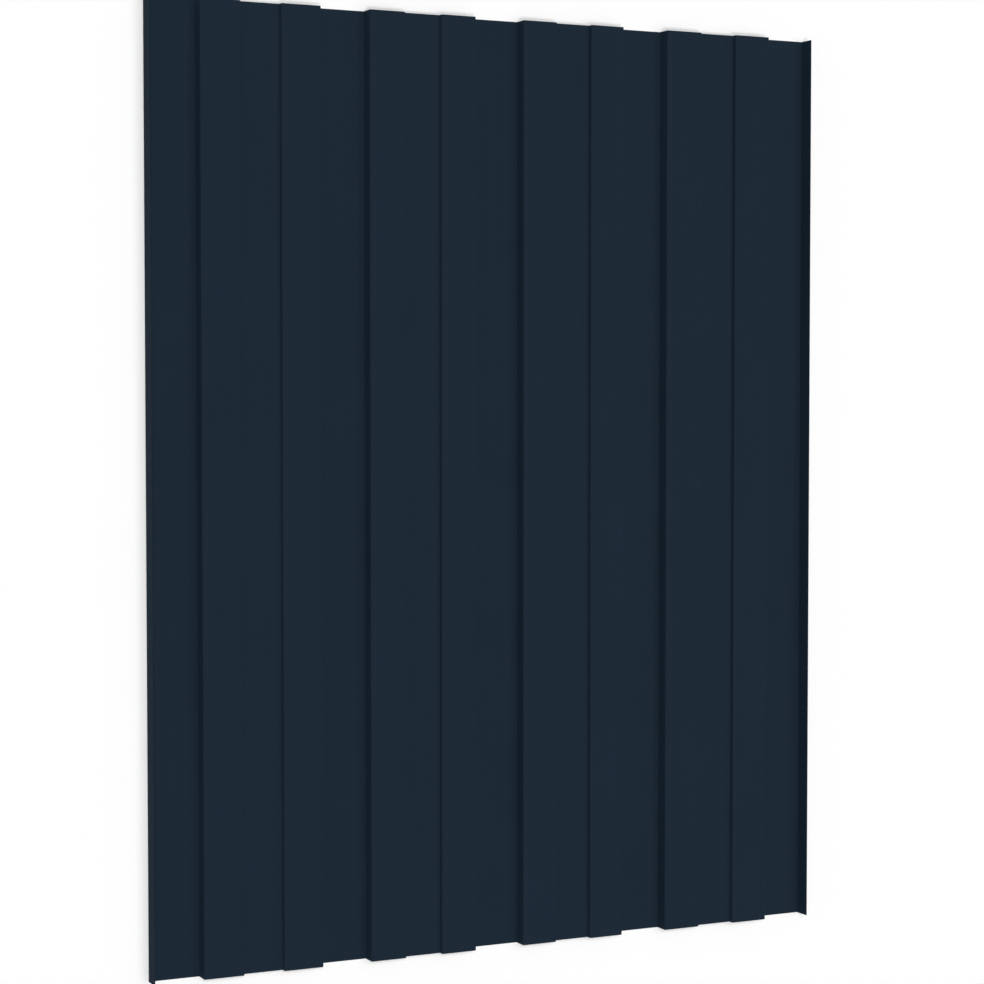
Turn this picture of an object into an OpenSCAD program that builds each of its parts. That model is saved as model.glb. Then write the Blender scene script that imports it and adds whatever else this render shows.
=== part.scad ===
// Corrugated steel sheet for a roof or a wall. One thin coated strip is bent along its whole length into
// wide ribs with a shallow groove in each crown, narrow valleys between the ribs, and a lip at each edge.
// The sheet lies flat on its valleys: X across the ribs, Y along them, Z up out of the weather face.

/* [Sheet] */
// Length along the ribs
sheet_len = 600; // [300:10:3000]
// Thickness of the coated steel
steel_t = 0.5; // [0.4:0.05:0.8]
// Radius on the inside of every bend
bend_r = 0.5; // [0.3:0.1:0.9]

/* [Ribs] */
// Height of a rib's crown above the valleys
rib_h = 10.2; // [8:0.1:20]
// Width over the walls of each rib next to an edge
outer_rib_w = 78.9; // [68:0.1:90]
// Width over the walls of each rib next to the middle
inner_rib_w = 73.4; // [64:0.1:86]

/* [Crown grooves] */
// Depth of the groove below the crown
groove_d = 3.9; // [3:0.1:6]
// Clear width of the groove in an outer rib
outer_groove_w = 26.4; // [16:0.1:36]
// Clear width of the groove in an inner rib
inner_groove_w = 25.1; // [16:0.1:36]

/* [Valleys] */
// Clear width of the valley in the middle of the sheet
middle_valley_w = 34; // [20:0.1:60]
// Clear width of each valley between an inner and an outer rib
side_valley_w = 32.7; // [20:0.1:60]
// Clear width of each valley between an outer rib and its lip
edge_valley_w = 32.1; // [20:0.1:60]

/* [Edge lips] */
// Height of the lip above the valley
lip_h = 11.7; // [6:0.1:20]

/* [Hidden] */
$fn = 48;

// Colour of the baked paint, a dark blue grey
coat_color = [30 / 255, 42 / 255, 54 / 255];

// Half the clear width from lip to lip
half_clear_w = middle_valley_w / 2 + inner_rib_w + side_valley_w + outer_rib_w + edge_valley_w;

// A rib as the runs of its weather face: up the wall, over the grooved crown, and down again
function rib(rib_w, groove_w) =
    let (crown_w = (rib_w - groove_w) / 2)
    [
        [0, rib_h],
        [crown_w, 0],
        [0, -groove_d],
        [groove_w, 0],
        [0, groove_d],
        [crown_w, 0],
        [0, -rib_h]
    ];

// The runs of the weather face across the whole sheet, from the top of one lip to the top of the other
runs = concat(
    [[0, -lip_h], [edge_valley_w, 0]],
    rib(outer_rib_w, outer_groove_w),
    [[side_valley_w, 0]],
    rib(inner_rib_w, inner_groove_w),
    [[middle_valley_w, 0]],
    rib(inner_rib_w, inner_groove_w),
    [[side_valley_w, 0]],
    rib(outer_rib_w, outer_groove_w),
    [[edge_valley_w, 0], [0, lip_h]]
);
last_run = len(runs) - 1;

// Unit direction of a run, and its place where the weather face turns sharply at every bend
function heading(i) = runs[i] / norm(runs[i]);
function run_start(i) = i == 0 ? [-half_clear_w, steel_t + lip_h] : run_start(i - 1) + runs[i - 1];

// Does the strip turn towards its weather face in the bend after this run?
function turns_up(i) = cross(heading(i), heading(i + 1)) > 0;

// Radius of the weather face in the bend after a run, which is also what the bend takes off each run
function face_r(i) = turns_up(i) ? bend_r : bend_r + steel_t;

// A run of flat steel, its weather face to the left of its heading and its ends where the bends begin
module flat_run(i) {
    trim_start = i == 0 ? 0 : face_r(i - 1);
    trim_end = i == last_run ? 0 : face_r(i);
    flat_len = norm(runs[i]) - trim_start - trim_end;
    angle = atan2(heading(i).y, heading(i).x);
    translate(run_start(i) + heading(i) * trim_start)
        rotate(angle)
            translate([0, -steel_t])
                square([flat_len, steel_t]);
}

// A quarter-turn bend after a run: the part of a ring between the two runs that it joins
module bend(i) {
    outside_r = bend_r + steel_t;
    centre = run_start(i + 1) + (heading(i + 1) - heading(i)) * face_r(i);
    outwards = heading(i) - heading(i + 1);
    translate(centre)
        intersection() {
            difference() {
                circle(outside_r);
                circle(bend_r);
            }
            rotate(atan2(outwards.y, outwards.x) - 45)
                square(outside_r);
        }
}

module section() {
    for (i = [0 : last_run])
        flat_run(i);
    for (i = [0 : last_run - 1])
        bend(i);
}

module corrugated_sheet() {
    color(coat_color)
        rotate([90, 0, 0])
            linear_extrude(height = sheet_len, center = true)
                section();
}

corrugated_sheet();
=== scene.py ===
import math

import bmesh
import bpy
from mathutils import Matrix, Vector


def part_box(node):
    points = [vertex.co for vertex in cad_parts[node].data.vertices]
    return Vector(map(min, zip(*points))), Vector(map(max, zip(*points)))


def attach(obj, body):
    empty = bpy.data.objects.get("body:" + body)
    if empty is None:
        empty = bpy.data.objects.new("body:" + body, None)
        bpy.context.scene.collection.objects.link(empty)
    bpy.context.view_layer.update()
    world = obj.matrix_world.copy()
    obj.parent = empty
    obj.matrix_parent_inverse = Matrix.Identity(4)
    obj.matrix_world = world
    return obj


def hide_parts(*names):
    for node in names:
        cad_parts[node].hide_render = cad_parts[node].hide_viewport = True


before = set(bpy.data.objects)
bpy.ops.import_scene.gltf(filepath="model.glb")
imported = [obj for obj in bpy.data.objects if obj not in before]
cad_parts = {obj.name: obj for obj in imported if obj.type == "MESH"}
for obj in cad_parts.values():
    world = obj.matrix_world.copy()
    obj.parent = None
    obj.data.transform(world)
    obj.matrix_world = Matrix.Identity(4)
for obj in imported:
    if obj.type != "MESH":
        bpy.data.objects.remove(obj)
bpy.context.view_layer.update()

# The sheet is one strip of thin galvanised steel with a baked dark blue grey coat all over it. Rollers bend
# the strip along its whole length into grooved ribs, valleys and edge lips, each bend a small round fold,
# and shears cut it square at both ends. It lies on its valleys, with its weather face up.
sheet_low, sheet_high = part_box("corrugated_sheet")
sheet_len = sheet_high.y - sheet_low.y
steel_t = 0.0005
bend_r = 0.0005
bend_segments = 8
cut_edge_r = 0.00008
cut_edge_segments = 2

rib_h = 0.0102
outer_rib_w = 0.0789
inner_rib_w = 0.0734
groove_d = 0.0039
outer_groove_w = 0.0264
inner_groove_w = 0.0251
middle_valley_w = 0.0340
side_valley_w = 0.0327
half_clear_w = sheet_high.x - steel_t
edge_valley_w = half_clear_w - middle_valley_w / 2 - inner_rib_w - side_valley_w - outer_rib_w
lip_h = sheet_high.z - steel_t


def rib_runs(rib_w, groove_w):
    """A rib's weather face as runs across and up: up the wall, over the grooved crown, and down again."""
    crown_w = (rib_w - groove_w) / 2
    return [
        (0, rib_h),
        (crown_w, 0),
        (0, -groove_d),
        (groove_w, 0),
        (0, groove_d),
        (crown_w, 0),
        (0, -rib_h),
    ]


# The weather face turns sharply at first: a line is walked from lip to lip, then drawn out along the ribs.
runs = [
    (0, -lip_h),
    (edge_valley_w, 0),
    *rib_runs(outer_rib_w, outer_groove_w),
    (side_valley_w, 0),
    *rib_runs(inner_rib_w, inner_groove_w),
    (middle_valley_w, 0),
    *rib_runs(inner_rib_w, inner_groove_w),
    (side_valley_w, 0),
    *rib_runs(outer_rib_w, outer_groove_w),
    (edge_valley_w, 0),
    (0, lip_h),
]
strip = bmesh.new()
tip = strip.verts.new((-half_clear_w, sheet_high.y, sheet_high.z))
for across, up in runs:
    tip = bmesh.ops.extrude_vert_indiv(strip, verts=[tip])["verts"][0]
    bmesh.ops.translate(strip, verts=[tip], vec=(across, 0, up))
drawn = bmesh.ops.extrude_edge_only(strip, edges=strip.edges[:])["geom"]
near_end = [part for part in drawn if isinstance(part, bmesh.types.BMVert)]
bmesh.ops.translate(strip, verts=near_end, vec=(0, -sheet_len, 0))


def square_edges(outward):
    """The edges where the faces meet about squarely, either on an outward corner or in an inward one."""
    least_turn = math.radians(60)
    strip.normal_update()
    return [
        edge
        for edge in strip.edges
        if len(edge.link_faces) == 2
        and edge.is_convex == outward
        and edge.calc_face_angle() > least_turn
    ]


def round_over(edges, radius, segments):
    """Rounds these edges of the strip to a radius."""
    bmesh.ops.bevel(
        strip,
        geom=edges,
        offset=radius,
        offset_type="OFFSET",
        affect="EDGES",
        segments=segments,
        profile=0.5,
        material=-1,
    )


# On the weather face a fold over a crown is rounder, by the steel's thickness, than one at a wall's foot.
round_over(square_edges(outward=True), bend_r + steel_t, bend_segments)
round_over(square_edges(outward=False), bend_r, bend_segments)

# The steel's thickness goes below the weather face, and the coat rounds the sheared edges a little.
strip.normal_update()
bmesh.ops.solidify(strip, geom=strip.faces[:], thickness=steel_t)
bmesh.ops.recalc_face_normals(strip, faces=strip.faces[:])
round_over(square_edges(outward=True), cut_edge_r, cut_edge_segments)
for face in strip.faces:
    face.smooth = True


def add_object(name, data):
    """Puts a new object with this data into the scene."""
    made = bpy.data.objects.new(name, data)
    bpy.context.scene.collection.objects.link(made)
    return made


def add_mesh(name, shape):
    """Turns a finished bmesh into an object of the scene."""
    mesh = bpy.data.meshes.new(name)
    shape.to_mesh(mesh)
    shape.free()
    return add_object(name, mesh)


# The normals follow the largest faces, so the flat runs shade flat and only the folds shade round.
sheet = add_mesh("coated_sheet", strip)
flat_runs = sheet.modifiers.new("flat_runs", "WEIGHTED_NORMAL")
flat_runs.mode = "FACE_AREA"
flat_runs.weight = 100
flat_runs.keep_sharp = True


class Signal:
    """An output socket of a shader tree. Sums written with it add Math nodes to the tree."""

    def __init__(self, tree, socket=None):
        self.tree = tree
        self.socket = socket

    def node(self, kind, settings=None, inputs=None, output=0):
        """Adds a node, sets its settings, fills or links its sockets, and gives one of its outputs."""
        made = self.tree.nodes.new(kind)
        for name, setting in (settings or {}).items():
            setattr(made, name, setting)
        for name, value in (inputs or {}).items():
            if isinstance(value, Signal):
                self.tree.links.new(value.socket, made.inputs[name])
            else:
                made.inputs[name].default_value = value
        return Signal(self.tree, made.outputs[output] if made.outputs else None)

    def math(self, operation, first, second):
        return self.node("ShaderNodeMath", {"operation": operation}, {0: first, 1: second})

    def __add__(self, other):
        return self.math("ADD", self, other)

    def __radd__(self, other):
        return self.math("ADD", other, self)

    def __sub__(self, other):
        return self.math("SUBTRACT", self, other)

    def __rsub__(self, other):
        return self.math("SUBTRACT", other, self)

    def __mul__(self, other):
        return self.math("MULTIPLY", self, other)

    def __rmul__(self, other):
        return self.math("MULTIPLY", other, self)


def empty_shader(owner):
    """Clears the shader tree of a material or of the room, ready for its own nodes."""
    owner.use_nodes = True
    owner.node_tree.nodes.clear()
    return Signal(owner.node_tree)


def patches(place, across, detail):
    """Soft random patches about this far across, whose strength varies round one half."""
    scale = {"Vector": place, "Scale": 1 / across, "Detail": detail}
    return place.node("ShaderNodeTexNoise", None, scale)


# The coat is a low satin paint with a fine grain. It clouds a little from place to place, and the rollers
# leave faint drawn lines along the ribs.
coat = bpy.data.materials.new("baked_coat")
shade = empty_shader(coat)
on_sheet = shade.node("ShaderNodeTexCoord", output="Object")

grain_size = 0.0005
grain_detail = 2.0
grain_height = 0.00007
grain = patches(on_sheet, grain_size, grain_detail)

line_width = 0.0016
line_length = 0.2
line_detail = 1.0
line_height = 0.00003
line_stretch = (1.0, line_width / line_length, 1.0)
along_ribs = shade.node("ShaderNodeMapping", None, {"Vector": on_sheet, "Scale": line_stretch})
lines = patches(along_ribs, line_width, line_detail)

cloud_size = 0.07
cloud_detail = 3.0
cloud = patches(on_sheet, cloud_size, cloud_detail)

deep_tone = (0.0088, 0.0176, 0.0291, 1.0)
light_tone = (0.0110, 0.0218, 0.0358, 1.0)
half_way = 0.5
cloud_share = 0.8
line_share = 0.6
grain_share = 2.0
broad_tone = (cloud - half_way) * cloud_share + (lines - half_way) * line_share
tone_mix = half_way + broad_tone + (grain - half_way) * grain_share

# A Mix node's colours go by their numbers, because its other sockets have the same names.
first_color = 6
second_color = 7
mixed_color = 2
tones = {"Factor": tone_mix, first_color: deep_tone, second_color: light_tone}
tone = shade.node("ShaderNodeMix", {"data_type": "RGBA"}, tones, output=mixed_color)

relief_height = grain * grain_height + lines * line_height
relief = shade.node("ShaderNodeBump", None, {"Strength": 1.0, "Distance": 1.0, "Height": relief_height})

coat_roughness = 0.62
cloud_roughness = 0.06
line_roughness = 0.06
coat_gloss = 0.03
satin = shade.node(
    "ShaderNodeBsdfPrincipled",
    None,
    {
        "Base Color": tone,
        "Roughness": coat_roughness + cloud * cloud_roughness + lines * line_roughness,
        "Specular IOR Level": coat_gloss,
        "Normal": relief,
    },
)
shade.node("ShaderNodeOutputMaterial", None, {"Surface": satin})
sheet.data.materials.append(coat)
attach(sheet, "root")
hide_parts("corrugated_sheet")

# The floor is a plain white board, wide enough to reach past every view. The eye and glossy surfaces see it
# nearly white, with most of its own shading left in, so the sheet's soft shadow stays. To other light it is
# a dark board, which throws little light up at the sheet.
floor_half = 40.0
board = bmesh.new()
bmesh.ops.create_grid(board, x_segments=1, y_segments=1, size=floor_half)
floor = add_mesh("floor", board)


def seen_directly(shade):
    """Is this ray the eye's, or one that a mirror or a glass sends on?"""
    camera_ray = shade.node("ShaderNodeLightPath", output="Is Camera Ray")
    glossy_ray = shade.node("ShaderNodeLightPath", output="Is Glossy Ray")
    clear_ray = shade.node("ShaderNodeLightPath", output="Is Transmission Ray")
    return shade.math("MAXIMUM", camera_ray, shade.math("MAXIMUM", glossy_ray, clear_ray))


white = (1.0, 1.0, 1.0, 1.0)
board_white = (0.97, 0.97, 0.97, 1.0)
board_dark = (0.12, 0.12, 0.12, 1.0)
white_share = 0.06
white_board = bpy.data.materials.new("white_board")
shade = empty_shader(white_board)
matt = shade.node("ShaderNodeBsdfDiffuse", None, {"Color": board_white})
bright = shade.node("ShaderNodeEmission", None, {"Color": white, "Strength": 1.0})
dark = shade.node("ShaderNodeBsdfDiffuse", None, {"Color": board_dark})
board_seen = shade.node("ShaderNodeMixShader", None, {0: white_share, 1: matt, 2: bright})
board_look = shade.node("ShaderNodeMixShader", None, {0: seen_directly(shade), 1: dark, 2: board_seen})
shade.node("ShaderNodeOutputMaterial", None, {"Surface": board_look})
floor.data.materials.append(white_board)

# The light is a plain soft studio's. Off each end of the sheet a main lamp stands on the camera's side, and
# a weaker one faces it across the ribs. Low fills light the ribs' walls from both sides, a lamp overhead
# lights the floor, and the pale room lights the rest.
room_level = 0.14
room = bpy.data.worlds.new("studio_room")
bpy.context.scene.world = room
shade = empty_shader(room)
seen = seen_directly(shade)
room_strength = seen + (1 - seen) * room_level
room_light = shade.node("ShaderNodeBackground", None, {"Color": white, "Strength": room_strength})
shade.node("ShaderNodeOutputWorld", None, {"Surface": room_light})


def soft_lamp(name, azimuth, elevation, level, spread):
    """A far soft lamp, in degrees round from +X and up, that alone lights a level face to this level."""
    data = bpy.data.lights.new(name, "SUN")
    data.energy = math.pi * level / math.sin(math.radians(elevation))
    data.angle = math.radians(spread)
    lamp = add_object(name, data)
    lean = Matrix.Rotation(math.radians(90 - elevation), 4, "Y")
    lamp.matrix_world = Matrix.Rotation(math.radians(azimuth), 4, "Z") @ lean
    return lamp


def screen_off(lamp, lit):
    """Screens a lamp off from everything but one object."""
    only_lit = bpy.data.collections.new(lamp.name)
    only_lit.objects.link(lit)
    lamp.light_linking.receiver_collection = only_lit


camera_side = 180
far_side = 0
end_turn = 45
lamp_elevation = 65
main_level = 0.255
main_spread = 8
cross_level = 0.10
cross_spread = 30
soft_lamp("near_end_main", camera_side + end_turn, lamp_elevation, main_level, main_spread)
soft_lamp("far_end_main", camera_side - end_turn, lamp_elevation, main_level, main_spread)
soft_lamp("near_end_cross", far_side - end_turn, lamp_elevation, cross_level, cross_spread)
soft_lamp("far_end_cross", far_side + end_turn, lamp_elevation, cross_level, cross_spread)

# The fills cast no shadow, so the valleys are as light as the crowns. They are screened off from the floor,
# which would be too light under the ribs, and the lamp overhead makes up for them there.
fill_elevation = 17
fill_level = 0.09
fill_spread = 8
for name, side in (("camera_side_fill", camera_side), ("far_side_fill", far_side)):
    fill = soft_lamp(name, side, fill_elevation, fill_level, fill_spread)
    fill.data.use_shadow = False
    screen_off(fill, sheet)
overhead = 90
floor_level = 2 * fill_level
floor_lamp = soft_lamp("floor_lamp", far_side, overhead, floor_level, fill_spread)
screen_off(floor_lamp, floor)

# The camera looks down on the sheet from the side of one lip, square to the ribs' length apart from a
# slight tilt towards the near end, and the sheet fills the height of the square picture.
sensor_mm = 36.0
lens_mm = 91.52
view_aim = (-0.0009, -0.0037, steel_t)
view_distance = 1.6224
view_yaw = math.radians(25.72)
view_pitch = math.radians(2.443)
camera_data = bpy.data.cameras.new("camera")
camera_data.sensor_width = sensor_mm
camera_data.lens = lens_mm
camera = add_object("camera", camera_data)
turn = Matrix.Rotation(-view_yaw, 4, "Y") @ Matrix.Rotation(-view_pitch, 4, "X")
camera.matrix_world = Matrix.Translation(view_aim) @ turn @ Matrix.Translation((0, 0, view_distance))
bpy.context.scene.camera = camera

bpy.context.scene.view_settings.view_transform = "Standard"
